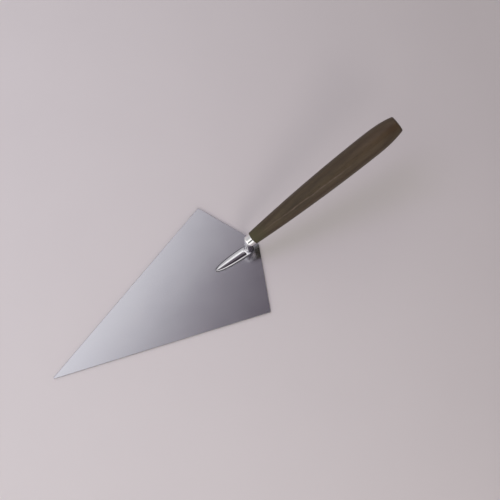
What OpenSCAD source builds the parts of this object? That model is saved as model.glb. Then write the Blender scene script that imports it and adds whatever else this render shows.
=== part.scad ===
// Brick trowel: kite-shaped steel blade, forged shank, ferrule and turned wooden handle.
// +X points from the handle to the tip, +Z is up.  The origin lies on the underside of
// the blade, on its centreline, level with the two shoulders.

/* [Blade] */
// Length of the blade from heel to tip
blade_len = 280; // [230:1:330]
// Width of the blade across its shoulders
blade_w = 150; // [110:1:170]
// Distance from the heel forward to the shoulders
heel_len = 35; // [30:1:60]
// Thickness of the blade from the heel to just past the foot
blade_t = 2.0; // [1.6:0.1:3]
// Thickness of the blade at its tip
tip_t = 1.0; // [0.8:0.1:1.5]
// Corner radius at the tip
tip_r = 0.8; // [0.5:0.1:2]
// Corner radius at the shoulders
shoulder_r = 1.5; // [1:0.5:3]
// Corner radius at the heel
heel_r = 8; // [4:1:12]

/* [Shank] */
// Length of the foot from the middle of the neck to its point
foot_len = 45.4; // [38:0.2:52]
// Width of the foot at the neck
foot_w = 11.5; // [10:0.5:14]
// Height of the foot's ridge above the blade at the neck
foot_h = 3.4; // [2.6:0.1:5]
// Height of the foot's ridge above the blade at its point
foot_tip_h = 1.0; // [0.8:0.1:1.6]
// Diameter of the round neck
neck_d = 9.4; // [8:0.2:9.4]
// Distance from the heel forward to the middle of the neck
neck_inset = 14.1; // [13:0.1:20]
// Height at which the neck's axis meets the handle's axis
lift = 35.7; // [32:0.1:45]
// Angle of the handle above the blade
handle_angle = 22; // [18:1:28]
// Length of the tang that is driven into the wood
tang_len = 95; // [70:5:120]
// Width of the square tang at its root
tang_w = 6.4; // [5:0.2:6.6]
// Leg of the weld that runs round the foot
weld_leg = 1.2; // [0.8:0.1:1.6]

/* [Ferrule] */
// Outer diameter of the ferrule
ferrule_d = 13.2; // [13:0.1:14]
// Length of the ferrule
ferrule_len = 9.2; // [9:0.2:12]
// Radius of the ferrule's rounded front edge
ferrule_round = 3.0; // [1:0.5:4]
// Diameter of the spigot that the ferrule grips
spigot_d = 10.8; // [10.4:0.2:11.4]
// Length of the spigot
spigot_len = 2; // [1.6:0.2:2.4]

/* [Handle] */
// Length of the wood behind the ferrule
handle_len = 201; // [160:1:220]
// Diameter of the wood behind its rounded front edge
front_d = 15.2; // [14.4:0.2:18]
// Largest diameter of the handle
belly_d = 27.1; // [24:0.1:32]
// Distance of the largest diameter behind the ferrule
belly_at = 157; // [110:1:170]
// Diameter of the handle at the edge of its butt
butt_d = 18.8; // [16:0.2:22]
// Height of the butt's dome
butt_dome = 1.3; // [0.5:0.1:3]

/* [Hidden] */
$fn = 96;

heel_x = -heel_len;
tip_x = blade_len - heel_len;
neck_x = heel_x + neck_inset;
foot_point_x = neck_x + foot_len;
neck_r = neck_d / 2;
bend_r = 5;                                    // centreline radius of the elbow
bend_angle = 90 - handle_angle;
bend_leg = bend_r * tan(bend_angle / 2);       // from the axes' crossing to the bend's end
bend_start = lift - bend_leg;                  // height at which the neck starts to bend
base_r = foot_w / 2 + 0.3;                     // radius of the neck at the blade
elbow_r = neck_r + 0.2;                        // the elbow is forged a little fuller than the neck
elbow_lap = 0.3;                               // how far the straight parts run into the elbow
elbow_gap = 0.1;                               // between the elbow and the ferrule's opening
ferrule_front = -3.2;                          // along the handle's axis from the crossing
wood_front = ferrule_front + ferrule_len;
spigot_front = wood_front - spigot_len;
tang_end = wood_front + tang_len;
tang_taper = 0.45;                             // width at the tang's end over width at its root
tang_root = spigot_front - 0.5;                // the tang grows out of the shoulder
front_round = 0.5;                             // step from the front edge to front_d
leaf_fullness = 2.4;                           // how soon the foot reaches its full size
foot_steps = 18;
foot_sides = 12;
foot_bite = 0.4;                               // flat edge below the foot's half-round top
neck_sweep = 2 * foot_h;                       // height over which the neck's base narrows
taper_x = foot_point_x + 8;                    // the blade is ground thinner from here on

function unit(v) = v / norm(v);

// Points of the arc that rounds the corner p, which lies between the points a and b.
function corner_arc(a, p, b, r, steps = 6) =
    let (
        u = unit(a - p),
        v = unit(b - p),
        half = acos(u * v) / 2,
        centre = p + unit(u + v) * r / sin(half),
        first = p + u * r / tan(half) - centre,
        turn = sign(u.x * v.y - u.y * v.x) * (2 * half - 180),
        from = atan2(first.y, first.x)
    )
    [for (i = [0:steps]) centre + r * [cos(from + turn * i / steps), sin(from + turn * i / steps)]];

// Radius of the wood at distance t behind the ferrule: one long arc up to the belly,
// then a quicker curve down to the butt.
function wood_r(t) =
    t < belly_at
        ? front_d / 2 + (belly_d - front_d) / 2 * (1 - pow(1 - t / belly_at, 2))
        : belly_d / 2 - (belly_d - butt_d) / 2 * pow((t - belly_at) / (handle_len - belly_at), 3);

// Half width and ridge height of the foot at the fraction u from its point to the neck.
function foot_half_w(u) = foot_w / 2 * sqrt(1 - pow(1 - u, leaf_fullness));
function foot_ridge(u) = foot_tip_h + (foot_h - foot_tip_h) * (1 - pow(1 - u, leaf_fullness));

// Places its children on the handle's axis, with +Z running towards the butt.
module on_handle_axis() {
    translate([neck_x, 0, lift])
        rotate([0, handle_angle - 90, 0])
            children();
}

module blade_outline() {
    tip = [tip_x, 0];
    left = [0, blade_w / 2];
    heel = [heel_x, 0];
    right = [0, -blade_w / 2];
    polygon(concat(
        corner_arc(right, tip, left, tip_r),
        corner_arc(tip, left, heel, shoulder_r),
        corner_arc(left, heel, right, heel_r),
        corner_arc(heel, right, tip, shoulder_r)
    ));
}

// The blade is flat below.  Its top is level under the foot and ground thinner to the tip.
module blade() {
    margin = 1;
    color("lightsteelblue")
        intersection() {
            linear_extrude(blade_t)
                blade_outline();
            rotate([90, 0, 0])
                linear_extrude(blade_w + 2 * margin, center = true)
                    polygon([
                        [heel_x - margin, 0],
                        [tip_x + margin, 0],
                        [tip_x + margin, tip_t],
                        [taper_x, blade_t],
                        [heel_x - margin, blade_t]
                    ]);
        }
}

// Outline of the foot on the blade: a leaf whose round end sits under the neck.
module foot_outline(grow = 0) {
    sides = [for (i = [0:foot_steps]) let (u = i / foot_steps)
        [foot_point_x - foot_len * u + grow * (1 - u), foot_half_w(u) + grow]];
    polygon(concat(
        [[foot_point_x + grow, 0]],
        sides,
        [for (i = [foot_steps:-1:0]) [sides[i].x, -sides[i].y]]
    ));
    translate([neck_x, 0])
        circle(foot_w / 2 + grow);
}

// One cross-section of the foot: a half-ellipse on a thin straight edge.
function foot_section(u) = [
    for (i = [0:foot_sides])
        let (a = 180 * i / foot_sides)
        [foot_point_x - foot_len * u, foot_half_w(u) * cos(a), blade_t + foot_bite + foot_ridge(u) * sin(a)]
];

// Low half-round leaf that swells from its point and runs level under the neck.
module foot() {
    first = 0.004;                             // the first ring is a blunt nose
    crowding = 1.6;                            // the rings lie closer together at the point
    rings = [for (i = [0:foot_steps]) let (u = first + (1 - first) * pow(i / foot_steps, crowding))
        concat(
            foot_section(u),
            [
                [foot_point_x - foot_len * u, -foot_half_w(u), blade_t],
                [foot_point_x - foot_len * u, foot_half_w(u), blade_t]
            ]
        )];
    n = foot_sides + 3;
    polyhedron(
        points = [for (ring = rings) each ring],
        faces = concat(
            [[for (k = [n - 1:-1:0]) k]],
            [for (i = [0:foot_steps - 1], k = [0:n - 1])
                let (a = i * n + k, b = i * n + (k + 1) % n)
                each [[a, b, a + n], [b, b + n, a + n]]],
            [[for (k = [0:n - 1]) foot_steps * n + k]]
        )
    );
}

// Round neck on the blade: a hollow curve sweeps up from its wide base.
module neck() {
    flare = base_r - neck_r;
    neck_top = bend_start + elbow_lap;
    translate([neck_x, 0, blade_t])
        rotate_extrude()
            polygon(concat(
                [[0, 0], [base_r, 0]],
                [for (i = [0:8]) let (a = 90 * i / 8)
                    [neck_r + flare * (1 - sin(a)), foot_bite + neck_sweep * (1 - cos(a))]],
                [[neck_r, neck_top - blade_t], [0, neck_top - blade_t]]
            ));
}

// Elbow from the neck to the shoulder that meets the end of the spigot.
module elbow() {
    translate([neck_x - bend_r, 0, bend_start])
        rotate([90, 0, 0])
            rotate_extrude(angle = bend_angle)
                translate([bend_r, 0])
                    circle(elbow_r);
    on_handle_axis()
        translate([0, 0, bend_leg - elbow_lap])
            cylinder(r = neck_r, h = spigot_front - bend_leg + elbow_lap);
}

// Square spike that tapers towards its end.
module tang() {
    on_handle_axis()
        translate([0, 0, tang_root])
            linear_extrude(tang_end - tang_root, scale = tang_taper)
                square(tang_w, center = true);
}

module shank() {
    color("silver") {
        foot();
        neck();
        elbow();
        tang();
    }
}

// Weld bead round the foot, sloping from the blade up to the foot's side.
module foot_weld() {
    layers = 3;
    color("gray")
        difference() {
            for (i = [0:layers - 1])
                translate([0, 0, blade_t + i * weld_leg / layers])
                    linear_extrude(weld_leg / layers)
                        foot_outline(weld_leg * (1 - i / layers));
            foot();
            neck();
        }
}

// Room for the neck and the elbow inside the ferrule: two drillings that cross.
module elbow_way() {
    way_r = elbow_r + elbow_gap;
    above = 3;                                 // past the crossing, up the neck's axis
    ahead = 1.5;                               // past the crossing, down the handle's axis
    below = 2 * ferrule_d;
    translate([neck_x, 0, lift - below])
        cylinder(r = way_r, h = below + above);
    on_handle_axis()
        translate([0, 0, -ahead])
            cylinder(r = way_r, h = spigot_front + ahead + elbow_gap);
}

// Steel cap over the handle's spigot.  Its rounded front is open where the elbow enters.
module ferrule() {
    outer_r = ferrule_d / 2;
    color("gainsboro")
        difference() {
            on_handle_axis()
                rotate_extrude()
                    polygon(concat(
                        [[0, ferrule_front]],
                        [for (i = [0:8]) let (a = 90 * i / 8)
                            [
                                outer_r - ferrule_round * (1 - sin(a)),
                                ferrule_front + ferrule_round * (1 - cos(a))
                            ]],
                        [[outer_r, wood_front], [0, wood_front]]
                    ));
            elbow_way();
            on_handle_axis()
                translate([0, 0, spigot_front])
                    cylinder(d = spigot_d, h = 2 * spigot_len);
        }
}

// Turned handle with a spigot for the ferrule and a blind hole for the tang.
module handle() {
    steps = 28;
    color("saddlebrown")
        difference() {
            on_handle_axis()
                rotate_extrude()
                    polygon(concat(
                        [
                            [0, spigot_front],
                            [spigot_d / 2, spigot_front],
                            [spigot_d / 2, wood_front],
                            [front_d / 2 - front_round, wood_front]
                        ],
                        [for (i = [1:steps]) let (t = handle_len * i / steps)
                            [wood_r(t), wood_front + t]],
                        [for (i = [1:6]) let (a = 90 * i / 6)
                            [butt_d / 2 * cos(a), wood_front + handle_len + butt_dome * sin(a)]]
                    ));
            tang();
        }
}

blade();
foot_weld();
shank();
ferrule();
handle();
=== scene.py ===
import math

import bmesh
import bpy
import numpy as np
from mathutils import Matrix, Vector, noise


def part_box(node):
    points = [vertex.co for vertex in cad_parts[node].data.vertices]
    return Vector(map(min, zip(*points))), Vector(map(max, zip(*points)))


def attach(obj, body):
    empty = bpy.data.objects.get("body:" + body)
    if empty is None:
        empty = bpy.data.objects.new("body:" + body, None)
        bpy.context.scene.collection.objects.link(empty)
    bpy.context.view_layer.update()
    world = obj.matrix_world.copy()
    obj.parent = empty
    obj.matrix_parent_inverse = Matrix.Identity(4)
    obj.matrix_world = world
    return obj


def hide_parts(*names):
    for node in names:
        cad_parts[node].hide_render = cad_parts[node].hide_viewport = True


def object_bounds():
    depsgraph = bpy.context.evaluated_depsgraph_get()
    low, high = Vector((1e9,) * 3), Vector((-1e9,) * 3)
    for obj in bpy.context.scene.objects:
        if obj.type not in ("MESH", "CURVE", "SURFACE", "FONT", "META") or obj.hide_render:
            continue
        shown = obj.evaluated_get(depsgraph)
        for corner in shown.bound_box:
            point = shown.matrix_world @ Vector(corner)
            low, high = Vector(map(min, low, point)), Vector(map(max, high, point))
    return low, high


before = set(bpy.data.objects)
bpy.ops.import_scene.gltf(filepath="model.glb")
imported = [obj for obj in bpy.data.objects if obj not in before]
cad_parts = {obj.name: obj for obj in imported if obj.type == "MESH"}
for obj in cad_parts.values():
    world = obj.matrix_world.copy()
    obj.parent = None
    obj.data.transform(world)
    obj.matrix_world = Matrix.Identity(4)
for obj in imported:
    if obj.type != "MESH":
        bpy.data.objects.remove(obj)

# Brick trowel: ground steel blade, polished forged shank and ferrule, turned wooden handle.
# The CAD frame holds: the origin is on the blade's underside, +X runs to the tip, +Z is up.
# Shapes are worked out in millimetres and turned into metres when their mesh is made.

MM = 0.001
BODY = "root"
CAD_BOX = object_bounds()


def box_mm(node):
    """Lowest and highest corner of a CAD node in millimetres."""
    low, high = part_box(node)
    return low / MM, high / MM


BLADE_LO, BLADE_HI = box_mm("blade")
_, SHANK_HI = box_mm("shank")

# Blade
TIP_R = 0.8
SHOULDER_R = 1.5
HEEL_R = 8.0
BLADE_T = BLADE_HI.z
TIP_T = 1.0
EDGE_R = 0.28                     # rounding along the blade's edges
CUT_STEP = 8.0                    # spacing of the cuts across the blade, for its taper
LEVEL_LEN = 8.0                   # level stretch between the foot's point and the taper

# Shank
FOOT_LEN = 45.4
FOOT_W = 11.5
FOOT_H = 3.4
FOOT_TIP_H = 1.0
LEAF_FULLNESS = 2.4               # how soon the foot reaches its full size
FOOT_EDGE = 0.4                   # flat edge below the foot's half-round top
FOOT_FILLET = 3.0                 # between the foot and the neck
FOOT_POINT_X = SHANK_HI.x
NECK_X = FOOT_POINT_X - FOOT_LEN
NECK_R = 4.7
ELBOW_R = 4.9
ELBOW_RISE = 6.0                  # height over which the neck widens to the elbow
LIFT = 35.7                       # height at which the neck's axis meets the handle's
HANDLE_ANGLE = math.radians(22)
BEND_R = 5.0
BEND_ANGLE = math.pi / 2 - HANDLE_ANGLE
BEND_START = LIFT - BEND_R * math.tan(BEND_ANGLE / 2)
WELD_LEG = 1.05
SHANK_STEP = 0.32                 # grid step of its mesh

# Ferrule and handle, measured along the handle's axis from where it meets the neck's
FERRULE_R = 6.6
FERRULE_ROUND = 3.0
FERRULE_FRONT = -3.2
FERRULE_SEAM = 0.12               # gap to the elbow that goes in at the front
FERRULE_STEP = 0.19               # grid step of its mesh
WOOD_FRONT = 6.0
SPIGOT_FRONT = 4.0
SPIGOT_R = 5.4
TANG_END = 101.0
TANG_W = 6.4
TANG_TAPER = 0.45                 # its end's width as a share of its front's
HOLE_END = TANG_END + 0.3
HOLE_FRONT_R = 4.75
HOLE_END_R = 2.3
HANDLE_LEN = 201.0
FRONT_R = 7.6
BELLY_R = 13.55
BELLY_AT = 157.0
BUTT_R = 9.4
BUTT_DOME = 1.3
RIM_R = 0.5                       # rounding of the wood's front edge

# Room; azimuths and elevations in degrees, lengths in metres
FLOOR_REACH = 60.0                # from the middle to an edge
FLOOR_GAP = 0.0002
LAMP_DISTANCE = 1.4
LIGHT_SIDE = -62                  # azimuth towards which walls and ceiling grow lighter
WINDOW = 30                       # azimuth of the window's middle
DARK_SPOT = (48, 41, 13)          # azimuth, elevation and radius
CEILING_FROM = -1.0
CEILING_TO = 0.6
CEILING = [                       # cosine of the angle to the light side, and brightness
    (-1.0, 0.36), (-0.86, 0.30), (-0.76, 0.04), (-0.35, 0.05), (-0.15, 0.19),
    (-0.03, 0.19), (0.07, 0.12), (0.12, 0.26), (0.16, 0.48), (0.2, 0.80),
    (0.25, 1.28), (0.32, 1.36), (0.5, 1.0),
]

# Camera fitted to the photo; place in metres, angles in degrees
CAMERA_PLACE = (0.1212, 0.2102, 0.9361)
CAMERA_DOWN = 74.85
CAMERA_TURN = 145.6

# Matrix that stands a piece made along +Z on the handle's axis
HANDLE_AXIS = (
    Matrix.Translation(Vector((NECK_X, 0, LIFT)) * MM)
    @ Matrix.Rotation(HANDLE_ANGLE - math.pi / 2, 4, "Y")
)


# ---------------------------------------------------------------- mesh helpers

def add_piece(name, mesh):
    """Object with the given mesh, linked to the scene."""
    piece = bpy.data.objects.new(name, mesh)
    bpy.context.scene.collection.objects.link(piece)
    return piece


def loft(rings, wrap=False):
    """bmesh of quads between closed rings of points in millimetres.

    The last ring joins the first when wrap is set; otherwise both ends get a cap.
    """
    shape = bmesh.new()
    rows = [[shape.verts.new(Vector(point) * MM) for point in ring] for ring in rings]
    pairs = list(zip(rows, rows[1:]))
    if wrap:
        pairs.append((rows[-1], rows[0]))
    for lower, upper in pairs:
        count = len(lower)
        for i in range(count):
            j = (i + 1) % count
            shape.faces.new((lower[i], lower[j], upper[j], upper[i]))
    if not wrap:
        shape.faces.new(list(reversed(rows[0])))
        shape.faces.new(rows[-1])
    bmesh.ops.recalc_face_normals(shape, faces=shape.faces)
    return shape


def to_mesh(name, shape):
    """Smooth-shaded mesh from a bmesh."""
    mesh = bpy.data.meshes.new(name)
    for face in shape.faces:
        face.smooth = True
    shape.to_mesh(mesh)
    shape.free()
    return mesh


def slope(distance, points):
    """Gradient of a distance function by central differences."""
    h = 0.002
    parts = []
    for axis in np.eye(3) * h:
        parts.append((distance(points + axis) - distance(points - axis)) / (2 * h))
    return np.stack(parts, axis=-1)


def surface_mesh(name, distance, low, high, step):
    """Mesh of the surface distance(points) = 0 inside a box, by surface nets.

    Each grid cell that the surface crosses gets one vertex, each crossed grid edge one quad.
    Vertices are then moved onto the surface, and their normals come from its gradient.
    """
    pulls = 5
    least_slope = 0.05
    counts = [int(math.ceil((b - a) / step)) + 1 for a, b in zip(low, high)]
    axes = [a + step * np.arange(n) for a, n in zip(low, counts)]
    value = distance(np.stack(np.meshgrid(*axes, indexing="ij"), axis=-1))
    total = np.zeros(value.shape + (3,))
    hits = np.zeros(value.shape)
    unit = np.eye(3, dtype=int)
    quads = []
    for axis in range(3):
        near = np.delete(value, -1, axis)
        far = np.delete(value, 0, axis)
        edges = np.argwhere((near < 0) != (far < 0))
        start = near[tuple(edges.T)]
        share = start / (start - far[tuple(edges.T)])
        cross = np.array(low) + step * (edges + share[:, None] * unit[axis])
        side = unit[(axis + 1) % 3]
        back = unit[(axis + 2) % 3]
        cells = [edges, edges - side, edges - side - back, edges - back]
        for cell in cells:
            np.add.at(total, tuple(cell.T), cross)
            np.add.at(hits, tuple(cell.T), 1)
        ring = np.stack([np.ravel_multi_index(tuple(c.T), value.shape) for c in cells], 1)
        leaving = (start < 0)[:, None]
        quads.append(np.where(leaving, ring, ring[:, ::-1]))
    used, index = np.unique(np.concatenate(quads), return_inverse=True)
    points = total.reshape(-1, 3)[used] / hits.reshape(-1)[used][:, None]
    for _ in range(pulls):
        gradient = slope(distance, points)
        push = distance(points) / np.maximum((gradient ** 2).sum(-1), least_slope)
        points -= np.clip(push, -step, step)[:, None] * gradient
    gradient = slope(distance, points)
    normals = gradient / np.linalg.norm(gradient, axis=-1, keepdims=True)
    mesh = bpy.data.meshes.new(name)
    mesh.from_pydata((points * MM).tolist(), [], index.reshape(-1, 4).tolist())
    mesh.shade_smooth()
    mesh.normals_split_custom_set_from_vertices(normals.tolist())
    return mesh


def smooth_min(a, b, blend):
    """Smaller of two distances, with a fillet of about the blend's size between them."""
    h = np.clip(0.5 + 0.5 * (b - a) / blend, 0, 1)
    return b + (a - b) * h - blend * h * (1 - h)


def smooth_max(a, b, blend):
    """Larger of two distances, with a rounding of about the blend's size between them."""
    return -smooth_min(-a, -b, blend)


def finish_piece(piece, slot, *replaced):
    """Attach a piece to the body and hide the CAD nodes it stands for; the slot is not used."""
    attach(piece, BODY)
    if replaced:
        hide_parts(*replaced)


# ---------------------------------------------------------------- blade

def corner_arc(a, p, b, radius, inset, steps):
    """Arc that rounds the corner p between a and b, moved inwards by the inset."""
    u = (a - p).normalized()
    v = (b - p).normalized()
    half = u.angle(v) / 2
    centre = p + (u + v).normalized() * (radius / math.sin(half))
    first = p + u * (radius / math.tan(half)) - centre
    last = p + v * (radius / math.tan(half)) - centre
    turn = -first.angle_signed(last)
    points = []
    for i in range(steps + 1):
        spoke = first.copy()
        spoke.rotate(Matrix.Rotation(turn * i / steps, 2))
        points.append(centre + spoke * ((radius - inset) / radius))
    return points


def blade_outline(inset):
    """Kite-shaped outline with rounded corners, anticlockwise from the tip."""
    def sharp(extreme, radius, half):
        return extreme + radius * (1 / math.sin(half) - 1)

    tip_half = math.atan2(BLADE_HI.y, BLADE_HI.x)
    heel_half = math.atan2(BLADE_HI.y, -BLADE_LO.x)
    tip = Vector((sharp(BLADE_HI.x, TIP_R, tip_half), 0))
    heel = Vector((-sharp(-BLADE_LO.x, HEEL_R, heel_half), 0))
    shoulder_half = (math.pi - tip_half - heel_half) / 2
    reach = sharp(BLADE_HI.y, SHOULDER_R, shoulder_half)
    left = Vector((0, reach))
    right = Vector((0, -reach))
    return (
        corner_arc(right, tip, left, TIP_R, inset, 8)
        + corner_arc(tip, left, heel, SHOULDER_R, inset, 8)
        + corner_arc(left, heel, right, HEEL_R, inset, 16)
        + corner_arc(heel, right, tip, SHOULDER_R, inset, 8)
    )


def blade_top(x):
    """Height of the blade's top: level under the foot, then ground thinner to the tip."""
    taper_x = FOOT_POINT_X + LEVEL_LEN
    u = min(max((x - taper_x) / (BLADE_HI.x - taper_x), 0), 1)
    return BLADE_T + (TIP_T - BLADE_T) * u


def make_blade(body_steel, edge_steel):
    """Ground kite with rounded edges; its faces and its edges have a steel each."""
    edge_steps = 4
    tip_gap = 1.0
    flat_z = 0.97
    turns = [math.pi / 2 * i / edge_steps for i in range(edge_steps + 1)]
    lower = [(EDGE_R * (1 - math.sin(a)), EDGE_R * (1 - math.cos(a))) for a in turns]
    upper = [(inset, BLADE_T - z) for inset, z in reversed(lower)]
    rings = []
    for inset, z in lower + upper:
        rings.append([(p.x, p.y, z) for p in blade_outline(inset)])
    shape = loft(rings)
    x = BLADE_LO.x + CUT_STEP
    while x < BLADE_HI.x - tip_gap:
        geometry = shape.verts[:] + shape.edges[:] + shape.faces[:]
        place = Vector((x, 0, 0)) * MM
        bmesh.ops.bisect_plane(shape, geom=geometry, plane_co=place, plane_no=(1, 0, 0))
        x += CUT_STEP
    for vert in shape.verts:
        vert.co.z *= blade_top(vert.co.x / MM) / BLADE_T
    for face in shape.faces:
        face.material_index = 0 if abs(face.normal.z) > flat_z else 1
    mesh = to_mesh("blade_ground", shape)
    mesh.materials.append(body_steel)
    mesh.materials.append(edge_steel)
    piece = add_piece("blade_ground", mesh)
    weighted = piece.modifiers.new("flat_faces", "WEIGHTED_NORMAL")
    weighted.weight = 100
    finish_piece(piece, "blade_steel", "blade")


# ---------------------------------------------------------------- shank, weld and tang

def axis_place(points):
    """Place along the handle's axis, and offset from it in the plane of the shank."""
    x = points[..., 0] - NECK_X
    z = points[..., 2] - LIFT
    along = -x * math.cos(HANDLE_ANGLE) + z * math.sin(HANDLE_ANGLE)
    across = x * math.sin(HANDLE_ANGLE) + z * math.cos(HANDLE_ANGLE)
    return along, across


def stem_distance(points):
    """Distance to the round stem: the neck, the elbow and the shoulder behind it."""
    x = points[..., 0] - NECK_X
    z = points[..., 2] - BEND_START
    angle = np.arctan2(z, x + BEND_R)
    bent = np.hypot(x + BEND_R, z) - BEND_R
    _, across = axis_place(points)
    offset = np.where(z <= 0, x, np.where((angle >= 0) & (angle <= BEND_ANGLE), bent, across))
    rise = np.clip(z / ELBOW_RISE + 1, 0, 1)
    radius = NECK_R + (ELBOW_R - NECK_R) * rise ** 2
    return np.hypot(offset, points[..., 1]) - radius


def foot_half_w(u):
    """Half width of the foot at the fraction u from its point to the neck."""
    return FOOT_W / 2 * (1 - (1 - u) ** LEAF_FULLNESS) ** 0.5


def foot_distance(points):
    """Distance to the half-round leaf that lies on the blade."""
    least_u = 0.002
    least_steep = 1e-3
    point_round = 0.8
    u = np.clip((FOOT_POINT_X - points[..., 0]) / FOOT_LEN, least_u, 1)
    width = foot_half_w(u)
    height = FOOT_TIP_H + (FOOT_H - FOOT_TIP_H) * (1 - (1 - u) ** LEAF_FULLNESS)
    behind = np.maximum(NECK_X - points[..., 0], 0)
    above = np.maximum(points[..., 2] - BLADE_T - FOOT_EDGE, 0)
    y = points[..., 1]
    ratio = np.sqrt((y / width) ** 2 + (above / height) ** 2 + (behind / (FOOT_W / 2)) ** 2)
    steep = np.sqrt(
        (y / width ** 2) ** 2 + (above / height ** 2) ** 2 + (behind / (FOOT_W / 2) ** 2) ** 2
    )
    body = ratio * (ratio - 1) / (steep + least_steep)
    return smooth_max(body, points[..., 0] - FOOT_POINT_X, point_round)


def shank_distance(points):
    """Distance to the forging: leaf and stem run together, cut off inside the ferrule."""
    end_round = 0.4
    along, _ = axis_place(points)
    joined = smooth_min(foot_distance(points), stem_distance(points), FOOT_FILLET)
    trimmed = smooth_max(joined, along - SPIGOT_FRONT, end_round)
    return np.maximum(trimmed, BLADE_T - points[..., 2])


def make_shank(steel):
    """Forging in one mesh: foot, neck, elbow and shoulder."""
    side = 8
    low = (NECK_X - 12, -side, BLADE_T - 0.8)
    high = (FOOT_POINT_X + 1.5, side, LIFT + side)
    mesh = surface_mesh("shank_forging", shank_distance, low, high, SHANK_STEP)
    mesh.materials.append(steel)
    finish_piece(add_piece("shank_forging", mesh), "polished_steel", "shank")


def make_weld(steel):
    """Concave bead round the foot, a little uneven as a hand-laid weld is."""
    side_steps = 60
    crowding = 1.7                 # crowds the points where the leaf is most curved
    back_steps = 28
    face_steps = 6
    sunk = 0.12                    # how far the bead's face starts inside the foot's outline
    root = 0.8                     # how deep the bead reaches under the foot
    clear = 0.02                   # between the bead and the blade, under the foot
    side = []
    for i in range(1, side_steps + 1):
        u = (i / side_steps) ** crowding
        side.append(Vector((FOOT_POINT_X - FOOT_LEN * u, foot_half_w(u))))
    back = []
    for i in range(1, back_steps):
        a = math.pi / 2 + math.pi * i / back_steps
        back.append(Vector((NECK_X, 0)) + FOOT_W / 2 * Vector((math.cos(a), math.sin(a))))
    path = [Vector((FOOT_POINT_X, 0))] + side + back
    path += [Vector((p.x, -p.y)) for p in reversed(side)]
    rings = []
    for i, point in enumerate(path):
        ahead = path[(i + 1) % len(path)]
        behind = path[i - 1]
        tangent = (ahead - behind).normalized()
        outward = Vector((tangent.y, -tangent.x)) * -1
        ripple = noise.noise(Vector((point.x * 0.9, point.y * 0.9, 3.1)))
        leg = WELD_LEG * (0.86 + 0.14 * ripple)
        ring = []
        for k in range(face_steps + 1):
            a = math.pi / 2 * k / face_steps
            out = leg * (1 - math.sin(a))
            up = leg * (1 - math.cos(a))
            ring.append((*(point + outward * (out - sunk)), BLADE_T + up))
        ring.append((*(point - outward * root), BLADE_T + leg))
        ring.append((*(point - outward * root), BLADE_T + clear))
        rings.append(ring)
    mesh = to_mesh("foot_weld_bead", loft(rings, wrap=True))
    mesh.materials.append(steel)
    finish_piece(add_piece("foot_weld_bead", mesh), "weld_steel", "foot_weld")


def make_tang(steel):
    """Forged square spike inside the wood, with chamfered edges and hammered faces."""
    steps = 40
    chamfer = 0.22                 # share of half the width
    rings = []
    for i in range(steps + 1):
        t = SPIGOT_FRONT + (TANG_END - SPIGOT_FRONT) * i / steps
        half = TANG_W / 2 * (1 + (TANG_TAPER - 1) * i / steps)
        cut = half * chamfer
        ring = []
        for turn in range(4):
            for corner in ((half, -half + cut), (half, half - cut)):
                wobble = noise.noise(Vector((turn * 7.3, corner[1], t * 0.25)))
                spoke = Vector(corner) * (0.985 + 0.012 * wobble)
                spoke.rotate(Matrix.Rotation(turn * math.pi / 2, 2))
                ring.append((spoke.x, spoke.y, t))
        rings.append(ring)
    mesh = to_mesh("tang_spike", loft(rings))
    mesh.transform(HANDLE_AXIS)
    mesh.materials.append(steel)
    finish_piece(add_piece("tang_spike", mesh), "polished_steel")


# ---------------------------------------------------------------- ferrule

def ferrule_distance(points):
    """Distance to the domed cap, open where the elbow enters and bored for the spigot."""
    back_round = 0.35
    mouth_round = 0.45
    bore_round = 0.15
    along, across = axis_place(points)
    radial = np.hypot(across, points[..., 1])
    a = radial - (FERRULE_R - FERRULE_ROUND)
    b = FERRULE_FRONT + FERRULE_ROUND - along
    corner = np.hypot(np.maximum(a, 0), np.maximum(b, 0))
    cap = np.minimum(np.maximum(a, b), 0) + corner - FERRULE_ROUND
    cap = smooth_max(cap, along - WOOD_FRONT, back_round)
    cap = smooth_max(cap, FERRULE_SEAM - stem_distance(points), mouth_round)
    bore = np.maximum(radial - SPIGOT_R, SPIGOT_FRONT - along)
    return smooth_max(cap, -bore, bore_round)


def make_ferrule(steel):
    """Polished cap between the elbow and the wood."""
    reach = FERRULE_R + 1
    margin = 3.6
    meeting = Vector((NECK_X, 0, LIFT))
    backwards = Vector((-math.cos(HANDLE_ANGLE), 0, math.sin(HANDLE_ANGLE)))
    front = meeting + FERRULE_FRONT * backwards
    back = meeting + WOOD_FRONT * backwards
    low = (back.x - margin, -reach, front.z - reach)
    high = (front.x + margin, reach, back.z + reach)
    mesh = surface_mesh("ferrule_cap", ferrule_distance, low, high, FERRULE_STEP)
    mesh.materials.append(steel)
    finish_piece(add_piece("ferrule_cap", mesh), "ferrule_steel", "ferrule")


# ---------------------------------------------------------------- handle

def wood_r(t):
    """Radius of the wood at distance t behind the ferrule."""
    if t < BELLY_AT:
        return FRONT_R + (BELLY_R - FRONT_R) * (1 - (1 - t / BELLY_AT) ** 2)
    return BELLY_R - (BELLY_R - BUTT_R) * ((t - BELLY_AT) / (HANDLE_LEN - BELLY_AT)) ** 3


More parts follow.
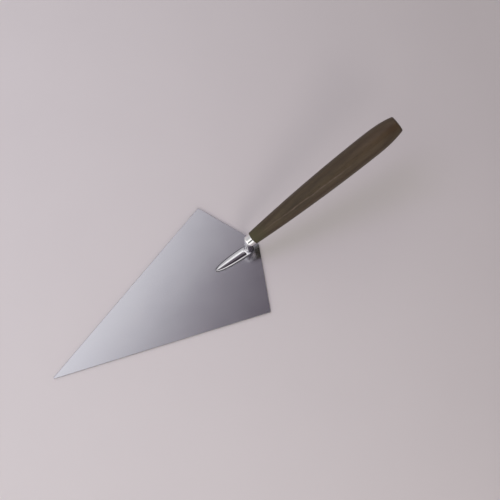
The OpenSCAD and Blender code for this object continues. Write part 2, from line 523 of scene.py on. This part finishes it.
def handle_profile():
    """Places and radii along the handle, from the bottom of the tang's hole to the butt."""
    fit = 0.02
    chamfer = 0.15
    rim_len = RIM_R * 1.2
    rim_steps = 6
    side_steps = 150
    butt_steps = 18
    middle_r = 0.15                # flat left in the middle of the butt
    profile = [(HOLE_END, 0.2), (HOLE_END, HOLE_END_R), (SPIGOT_FRONT, HOLE_FRONT_R)]
    profile += [(SPIGOT_FRONT, SPIGOT_R - chamfer), (SPIGOT_FRONT + chamfer, SPIGOT_R - fit)]
    profile += [(WOOD_FRONT, SPIGOT_R - fit), (WOOD_FRONT, FRONT_R - RIM_R - 0.1)]
    for i in range(1, rim_steps + 1):
        a = math.pi / 2 * i / rim_steps
        t = rim_len * (1 - math.cos(a))
        profile.append((WOOD_FRONT + t, wood_r(t) - RIM_R * (1 - math.sin(a))))
    for i in range(1, side_steps + 1):
        t = rim_len + (HANDLE_LEN - 0.5 - rim_len) * i / side_steps
        profile.append((WOOD_FRONT + t, wood_r(t)))
    edge = BUTT_R - 0.1
    for i in range(1, butt_steps + 1):
        a = math.pi / 2 * i / butt_steps
        groove = 0.06 * math.exp(-((math.cos(a) - 0.72) / 0.05) ** 2)
        height = -0.35 * (1 - min(i / 3, 1)) + BUTT_DOME * (1 - groove) * math.sin(a)
        profile.append((WOOD_FRONT + HANDLE_LEN + height, max(edge * math.cos(a), middle_r)))
    return profile


def make_handle(wood):
    """Turned wood, out of round by a hair as hand sanding leaves it."""
    sides = 112
    unround = 0.004
    rings = []
    for t, radius in handle_profile():
        ring = []
        for k in range(sides):
            a = 2 * math.pi * k / sides
            spoke = Vector((math.cos(a), math.sin(a), 0))
            hand = noise.noise(spoke * 0.8 + Vector((0, 0, t * 0.02)))
            size = radius * (1 + unround * hand)
            ring.append((spoke.x * size, spoke.y * size, t))
        rings.append(ring)
    mesh = to_mesh("handle_wood", loft(rings))
    mesh.transform(HANDLE_AXIS)
    mesh.materials.append(wood)
    finish_piece(add_piece("handle_wood", mesh), "handle_wood", "handle")


# ---------------------------------------------------------------- materials

def add_node(tree, kind, inputs=None, **settings):
    """New shader node; inputs are values or the output sockets to link."""
    made = tree.nodes.new("ShaderNode" + kind)
    for key, value in settings.items():
        setattr(made, key, value)
    for key, value in (inputs or {}).items():
        socket = made.inputs[key]
        if isinstance(value, bpy.types.NodeSocket):
            tree.links.new(value, socket)
        else:
            socket.default_value = value
    return made


def new_material(name, **values):
    """Material with its tree and its Principled shader, whose constant values are given."""
    material = bpy.data.materials.new(name)
    material.use_nodes = True
    tree = material.node_tree
    shader = tree.nodes["Principled BSDF"]
    for key, value in values.items():
        shader.inputs[key.replace("_", " ")].default_value = value
    return material, tree, shader


def on_handle(tree):
    """Coordinates with Z along the handle's axis, from where it meets the neck's."""
    turned = add_node(tree, "Mapping", vector_type="TEXTURE")
    turned.inputs["Location"].default_value = HANDLE_AXIS.to_translation()
    turned.inputs["Rotation"].default_value = HANDLE_AXIS.to_euler()
    tree.links.new(add_node(tree, "TexCoord").outputs["Object"], turned.inputs["Vector"])
    return turned.outputs["Vector"]


def streaks(tree, scale, detail, roughness, place=None):
    """Noise scaled apart along three axes, on the piece's own coordinates unless told."""
    place = place or add_node(tree, "TexCoord").outputs["Object"]
    mapped = add_node(tree, "Mapping", {"Vector": place, "Scale": scale})
    values = {"Vector": mapped.outputs["Vector"], "Scale": 1.0}
    values["Detail"] = detail
    values["Roughness"] = roughness
    return add_node(tree, "TexNoise", values).outputs["Fac"]


def spread(tree, value, low, high, to_low, to_high):
    """Value mapped from one range to another and held inside it."""
    ranges = {"Value": value, "From Min": low, "From Max": high}
    ranges["To Min"] = to_low
    ranges["To Max"] = to_high
    return add_node(tree, "MapRange", ranges).outputs["Result"]


def direction(azimuth, elevation):
    """Unit vector towards an azimuth and elevation in degrees."""
    a = math.radians(azimuth)
    e = math.radians(elevation)
    return Vector((math.cos(a) * math.cos(e), math.sin(a) * math.cos(e), math.sin(e)))


def facing(tree, place, azimuth, elevation):
    """How far a place lies towards a direction; the cosine between the two for a unit vector."""
    made = add_node(tree, "VectorMath", {0: place}, operation="DOT_PRODUCT")
    made.inputs[1].default_value = direction(azimuth, elevation)
    return made.outputs["Value"]


def multiply(tree, *values):
    """Product of sockets."""
    product = values[0]
    for value in values[1:]:
        product = add_node(tree, "Math", {0: product, 1: value}, operation="MULTIPLY").outputs[0]
    return product


def multiply_add(tree, value, factor, addend):
    """Value times factor plus addend; each is a number or a socket."""
    values = {0: value, 1: factor, 2: addend}
    return add_node(tree, "Math", values, operation="MULTIPLY_ADD").outputs[0]


def blend(tree, factor, first, second):
    """Colour between the first and the second; each is a colour or a socket."""
    mix = add_node(tree, "Mix", data_type="RGBA")
    sockets = [s for s in mix.inputs if s.type == "RGBA"]
    for socket, value in zip(sockets, (first, second)):
        if isinstance(value, bpy.types.NodeSocket):
            tree.links.new(value, socket)
        else:
            socket.default_value = (*value, 1)
    tree.links.new(factor, mix.inputs[0])
    return [s for s in mix.outputs if s.type == "RGBA"][0]


def bump(tree, shader, height, distance, strength=1.0):
    """Bump from a height field, chained onto the shader's normal."""
    values = {"Height": height, "Distance": distance, "Strength": strength}
    made = add_node(tree, "Bump", values)
    if shader.inputs["Normal"].is_linked:
        tree.links.new(shader.inputs["Normal"].links[0].from_socket, made.inputs["Normal"])
    tree.links.new(made.outputs["Normal"], shader.inputs["Normal"])


def blade_material():
    """Satin steel with fine lengthwise grinding lines and faint handling marks."""
    material, tree, shader = new_material("blade_satin_steel", Metallic=1.0)
    lines = streaks(tree, (14, 2600, 40), 4, 0.6)
    haze = streaks(tree, (11, 16, 9), 3, 0.55)
    marks = streaks(tree, (55, 420, 60), 5, 0.6)
    clean = (0.530, 0.522, 0.574)
    hazy = (0.575, 0.567, 0.614)
    colour = blend(tree, spread(tree, haze, 0.3, 0.7, 0, 1), clean, hazy)
    colour = blend(tree, spread(tree, marks, 0.66, 0.8, 0, 0.35), colour, (0.46, 0.46, 0.5))
    tree.links.new(colour, shader.inputs["Base Color"])
    rough = add_node(tree, "Math", {
        0: spread(tree, haze, 0.3, 0.7, 0.14, 0.18),
        1: spread(tree, lines, 0.3, 0.7, -0.02, 0.03),
    }, operation="ADD")
    tree.links.new(rough.outputs[0], shader.inputs["Roughness"])
    bump(tree, shader, lines, 0.00001, 0.5)
    return material


def edge_material():
    """Steel of the blade's edges, with nicks, darker than the faces as painted shade for the
    dark line along the edges.
    """
    material, tree, shader = new_material("blade_edge_steel", Metallic=1.0)
    nicks_and_shade = streaks(tree, (600, 600, 900), 4, 0.6)
    worn = (0.52, 0.52, 0.55)
    # painted shade: the dark nicked colour, spread over about half the edge, paints the line of
    # shade along the blade's edges
    nicked_and_shaded = (0.34, 0.34, 0.37)
    colour = blend(tree, spread(tree, nicks_and_shade, 0.35, 0.7, 0, 1), worn, nicked_and_shaded)
    tree.links.new(colour, shader.inputs["Base Color"])
    tree.links.new(spread(tree, nicks_and_shade, 0.3, 0.7, 0.18, 0.34), shader.inputs["Roughness"])
    bump(tree, shader, nicks_and_shade, 0.00003, 0.6)
    return material


def polished_material(name, colour, rough):
    """Polished steel with faint buffing marks, and a little duller where it is hazy."""
    material, tree, shader = new_material(name, Metallic=1.0)
    haze = streaks(tree, (140, 140, 140), 3, 0.55)
    lines = streaks(tree, (260, 2400, 2400), 3, 0.5)
    dull = tuple(0.86 * c for c in colour)
    tone = blend(tree, spread(tree, haze, 0.35, 0.75, 0, 1), colour, dull)
    tree.links.new(tone, shader.inputs["Base Color"])
    tree.links.new(spread(tree, haze, 0.3, 0.7, rough, rough * 1.7), shader.inputs["Roughness"])
    bump(tree, shader, lines, 0.000006, 0.5)
    return material


def weld_material():
    """Dressed weld: duller than the forging, with a fine ripple; its dark colour is painted
    shade for the line between the foot and the blade.
    """
    material, tree, shader = new_material("weld_steel_painted_shade", Metallic=1.0)
    ripple = streaks(tree, (700, 700, 400), 4, 0.6)
    # painted shade: the bead's steel is made very dark so that it paints the shade line in the
    # crease round the foot
    colour = blend(tree, ripple, (0.20, 0.195, 0.21), (0.38, 0.37, 0.39))
    tree.links.new(colour, shader.inputs["Base Color"])
    tree.links.new(spread(tree, ripple, 0.3, 0.7, 0.26, 0.42), shader.inputs["Roughness"])
    bump(tree, shader, ripple, 0.00008, 0.8)
    return material


def tang_material():
    """Dark forging scale on the hidden spike."""
    material, tree, shader = new_material("tang_forged_steel", Metallic=0.8)
    scale = streaks(tree, (300, 300, 120), 5, 0.6)
    colour = blend(tree, scale, (0.05, 0.048, 0.05), (0.2, 0.19, 0.19))
    tree.links.new(colour, shader.inputs["Base Color"])
    tree.links.new(spread(tree, scale, 0.3, 0.7, 0.45, 0.7), shader.inputs["Roughness"])
    bump(tree, shader, scale, 0.0002)
    return material


def painted_highlight_streak(tree, place):
    """Share of a painted highlight: a thin, broken pale streak along the top of the handle,
    where a lamp's highlight falls.
    """
    drift = 0.037                  # how fast the line leaves the handle's axis
    nearest = 0.0014
    farthest = 0.0032
    split = add_node(tree, "SeparateXYZ", {"Vector": place})
    above, aside, along = (split.outputs[axis] for axis in "XYZ")
    highlight_wobble = streaks(tree, (0, 0, 38), 4, 0.6, place)
    wander = spread(tree, highlight_wobble, 0.3, 0.7, nearest, farthest)
    course = multiply_add(tree, along, drift, wander)
    off = add_node(tree, "Math", {0: aside, 1: course}, operation="SUBTRACT").outputs[0]
    off = add_node(tree, "Math", {0: off}, operation="ABSOLUTE").outputs[0]
    return multiply(
        tree,
        spread(tree, off, 0.0003, 0.0010, 1, 0),
        spread(tree, above, 0.002, 0.004, 0, 1),
        spread(tree, along, 0.02, 0.06, 0.25, 1),
        spread(tree, along, 0.12, 0.15, 1, 0),
        spread(tree, streaks(tree, (0, 0, 130), 3, 0.6, place), 0.35, 0.6, 0.25, 1),
    )


def wood_material():
    """Dark oiled hardwood: growth bands, long fibres, open pores, worn and grimed by hands, with
    a painted highlight streak along its top.
    """
    material, tree, shader = new_material(
        "handle_dark_hardwood", Specular_IOR_Level=0.3, Coat_Weight=0.06, Coat_Roughness=0.3
    )
    place = on_handle(tree)
    warp = streaks(tree, (60, 60, 7), 2, 0.5, place)
    shift = add_node(tree, "Mapping", {"Vector": place, "Location": (0.031, 0.012, 0)})
    shift.inputs["Scale"].default_value = (1, 1, 0.05)
    bands = add_node(tree, "TexWave", {
        "Vector": shift.outputs["Vector"],
        "Scale": 85.0,
        "Distortion": 2.6,
        "Detail": 2.5,
        "Detail Scale": 0.7,
    }, wave_type="RINGS", rings_direction="Z").outputs["Fac"]
    fibres = streaks(tree, (1500, 1500, 26), 4, 0.6, place)
    pores = streaks(tree, (2600, 2600, 95), 2, 0.5, place)
    grime = streaks(tree, (45, 45, 18), 4, 0.6, place)
    along = add_node(tree, "SeparateXYZ", {"Vector": place}).outputs["Z"]
    tone = blend(tree, bands, (0.043, 0.030, 0.014), (0.066, 0.048, 0.023))
    tone = blend(tree, spread(tree, warp, 0.35, 0.65, 0, 0.6), tone, (0.064, 0.040, 0.021))
    tone = blend(tree, spread(tree, along, 0.1, 0.21, 0, 0.35), tone, (0.072, 0.038, 0.019))
    tone = blend(tree, spread(tree, fibres, 0.5, 0.72, 0, 0.45), tone, (0.019, 0.013, 0.008))
    tone = blend(tree, spread(tree, pores, 0.6, 0.72, 0, 0.8), tone, (0.010, 0.006, 0.005))
    tone = blend(tree, spread(tree, along, 0.010, 0.030, 0.75, 0), tone, (0.056, 0.054, 0.018))
    tone = blend(tree, spread(tree, grime, 0.5, 0.8, 0, 0.5), tone, (0.021, 0.015, 0.010))
    # painted highlight: a pale streak along the top of the handle stands in for a lamp's
    # highlight on the wood
    tone = blend(tree, painted_highlight_streak(tree, place), tone, (0.108, 0.078, 0.053))
    tree.links.new(tone, shader.inputs["Base Color"])
    tree.links.new(spread(tree, grime, 0.3, 0.7, 0.38, 0.55), shader.inputs["Roughness"])
    bump(tree, shader, fibres, 0.00012, 0.5)
    hollow = spread(tree, pores, 0.58, 0.72, 1, 0)
    bump(tree, shader, hollow, 0.0001, 0.6)
    return material


def floor_material():
    """Pale matte floor with painted light: its colour grows lighter to one side, a painted
    falloff of the light, with a barely visible mottle.
    """
    painted_light_towards = -24               # azimuth
    reach = 0.35                   # metres each way over which its painted light falloff changes
    material, tree, shader = new_material("studio_floor", Specular_IOR_Level=0.15)
    mottle = streaks(tree, (9, 9, 9), 4, 0.5)
    place = add_node(tree, "TexCoord").outputs["Object"]
    # painted light: the floor's colour grows lighter towards one side, standing in for the
    # falloff of the light across the floor
    tone = spread(tree, facing(tree, place, painted_light_towards, 0), -reach, reach, 0, 1)
    colour = blend(tree, tone, (0.548, 0.513, 0.489), (0.788, 0.758, 0.715))
    colour = blend(tree, spread(tree, mottle, 0.3, 0.7, 0, 0.03), colour, (0.3, 0.28, 0.29))
    tree.links.new(colour, shader.inputs["Base Color"])
    tree.links.new(spread(tree, mottle, 0.3, 0.7, 0.78, 0.86), shader.inputs["Roughness"])
    return material


# ---------------------------------------------------------------- studio

def make_floor():
    """Stage for the renders; no part of the trowel."""
    shape = bmesh.new()
    bmesh.ops.create_grid(shape, x_segments=8, y_segments=8, size=FLOOR_REACH)
    mesh = to_mesh("floor", shape)
    mesh.materials.append(floor_material())
    floor = add_piece("floor", mesh)
    floor.location.z = CAD_BOX[0].z - FLOOR_GAP


def add_lamp(name, towards, diameter, power, colour):
    """Round soft lamp aimed at the trowel, which its steel doesn't mirror."""
    lamp = bpy.data.lights.new(name, "AREA")
    lamp.shape = "DISK"
    lamp.size = diameter
    lamp.energy = power
    lamp.color = colour
    holder = bpy.data.objects.new(name, lamp)
    holder.location = towards * LAMP_DISTANCE
    holder.rotation_euler = (-towards).to_track_quat("-Z", "Y").to_euler()
    holder.visible_glossy = False
    bpy.context.scene.collection.objects.link(holder)


def patch(tree, place, azimuth, elevation, size, colour, room):
    """Round patch of the room in its own colour, with a soft edge; size in degrees."""
    core = 0.7                     # share of the radius inside the soft edge
    near = math.cos(math.radians(size * core))
    far = math.cos(math.radians(size))
    inside = spread(tree, facing(tree, place, azimuth, elevation), far, near, 0, 1)
    return blend(tree, inside, room, colour)


def ceiling_colour(tree, across):
    """Grey of the ceiling by how far it lies to the light side, purplish where it is dark."""
    level_at = spread(tree, across, CEILING_FROM, CEILING_TO, 0, 1)
    made = add_node(tree, "ValToRGB", {"Fac": level_at})
    stops = made.color_ramp.elements
    for _ in CEILING[len(stops):]:
        stops.new(0.5)
    for stop, (at, level) in zip(stops, CEILING):
        green = level * min(0.81 + level * 0.28, 1)
        stop.position = (at - CEILING_FROM) / (CEILING_TO - CEILING_FROM)
        stop.color = (level, green, level, 1)
    return made.outputs["Color"]


def make_world():
    """Pale room with a bright window in front; its ceiling falls off to the dark on one side."""
    far_wall = (0.36, 0.36, 0.36)
    near_wall = (0.64, 0.63, 0.65)
    pane = (1.22, 1.20, 1.20)
    lean_across = -0.35            # lifts the ceiling's edge towards the light side
    lean_window = -0.4             # and towards the window
    world = bpy.data.worlds.new("studio")
    world.use_nodes = True
    tree = world.node_tree
    place = add_node(tree, "TexCoord").outputs["Generated"]
    height = add_node(tree, "SeparateXYZ", {"Vector": place}).outputs["Z"]
    across = facing(tree, place, LIGHT_SIDE, 0)
    window = facing(tree, place, WINDOW, 0)
    walls = blend(tree, spread(tree, across, -1, 1, 0, 1), far_wall, near_wall)
    walls = blend(tree, spread(tree, window, 0.25, 0.5, 0, 1), walls, pane)
    reach = multiply_add(tree, across, lean_across, height)
    reach = multiply_add(tree, window, lean_window, reach)
    overhead = multiply(
        tree, spread(tree, reach, 0.56, 0.70, 0, 1), spread(tree, height, 0.48, 0.55, 0, 1)
    )
    colour = blend(tree, overhead, walls, ceiling_colour(tree, across))
    colour = patch(tree, place, *DARK_SPOT, (0.02, 0.02, 0.02), colour)
    backdrop = tree.nodes["Background"]
    tree.links.new(colour, backdrop.inputs["Color"])
    backdrop.inputs["Strength"].default_value = 1.0
    bpy.context.scene.world = world


def make_camera():
    """Camera at the photo's viewpoint."""
    data = bpy.data.cameras.new("camera")
    data.lens = 60
    data.sensor_width = 36
    data.clip_start = 0.01
    camera = bpy.data.objects.new("camera", data)
    camera.location = CAMERA_PLACE
    camera.rotation_euler = (math.radians(90 - CAMERA_DOWN), 0, math.radians(CAMERA_TURN))
    bpy.context.scene.collection.objects.link(camera)
    bpy.context.scene.camera = camera


make_camera()
make_world()
add_lamp("lamp_front", direction(72, 47), 0.6, 4.0, (1.0, 0.92, 0.96))
add_lamp("lamp_side", direction(-57, 68), 0.7, 3.1, (0.70, 0.57, 1.0))
bpy.context.scene.view_settings.view_transform = "Standard"
make_floor()
make_blade(blade_material(), edge_material())
make_shank(polished_material("shank_polished_steel", (0.74, 0.73, 0.755), 0.08))
make_weld(weld_material())
make_tang(tang_material())
make_ferrule(polished_material("ferrule_polished_steel", (0.88, 0.875, 0.87), 0.07))
make_handle(wood_material())

bpy.context.view_layer.update()
